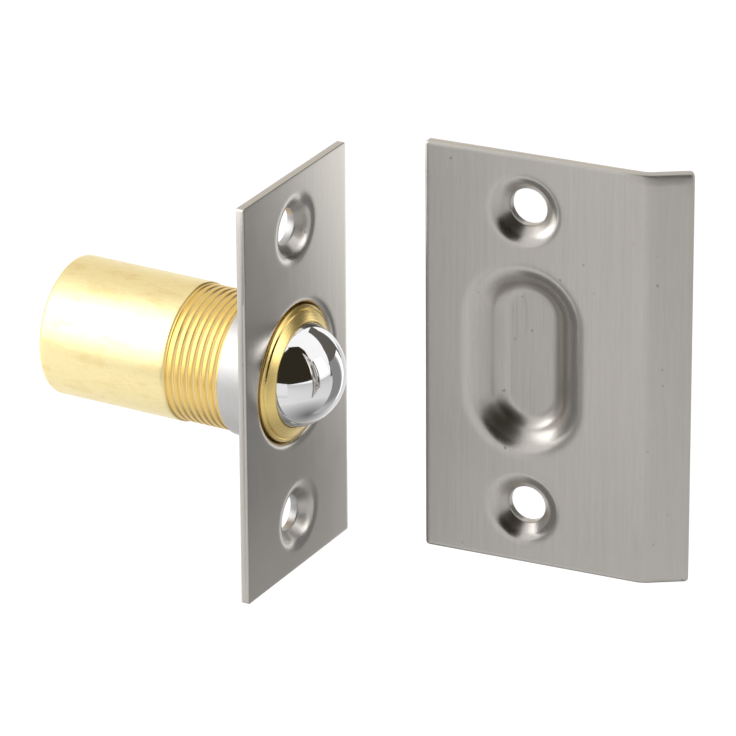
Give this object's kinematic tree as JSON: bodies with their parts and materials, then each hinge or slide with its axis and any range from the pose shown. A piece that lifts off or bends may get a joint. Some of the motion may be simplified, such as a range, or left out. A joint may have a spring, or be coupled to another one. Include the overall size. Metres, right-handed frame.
{
  "type": "ball catch",
  "caption": "Adjustable door ball catch: screwed faceplate, threaded brass barrel with sprung ball, and strike plate with a pressed dish.",
  "frame": {"origin": "centre of the faceplate's front face, midway between its screw holes, on the ball's axis", "axes": "+Z along the faceplate's length, -Y out of its front towards the strike, +Y along the barrel into the door; the strike stands beside the catch as pictured, its front facing -X, turned 5.5 degrees"},
  "size_m": [0.0254, 0.0902, 0.067],
  "materials": {
    "plate_nickel": "satin nickel",
    "strike_nickel": "satin nickel",
    "barrel_brass": "turned, bright",
    "plug_brass": "turned",
    "spring_steel": "drawn wire",
    "seat_brass": "turned",
    "ball_chrome": "polished"
  },
  "bodies": {
    "plates": {"faceplate": "plate_nickel", "strike_plate": "strike_nickel"},
    "spring_carrier": {"spring": "spring_steel"},
    "barrel": {"barrel": "barrel_brass", "rear_plug": "plug_brass"},
    "seat": {"ball_seat": "seat_brass"},
    "ball": {"ball": "ball_chrome"}
  },
  "joints": [
    {"name": "barrel_advance", "type": "slide", "parent": "plates", "child": "spring_carrier", "axis": [0, -1, 0], "range_m": [-0.002, 0.007]},
    {"name": "barrel_turn", "type": "hinge", "parent": "spring_carrier", "child": "barrel", "pos_m": [0, 0, 0], "axis": [0, -1, 0], "range_deg": [-721, 2521]},
    {"name": "ball_press", "type": "slide", "parent": "spring_carrier", "child": "seat", "axis": [0, 1, 0], "range_m": [0, 0.0052], "stiffness_N_per_m": 2000, "springref_m": -0.004, "deforming": ["spring"]},
    {"name": "ball_roll", "type": "hinge", "parent": "seat", "child": "ball", "pos_m": [0, 0.0008, 0], "axis": [0, 0, 1], "continuous": true}
  ],
  "couplings": [
    {"joint": "barrel_turn", "follows": "barrel_advance", "rad_per_m": 6283.2}
  ]
}
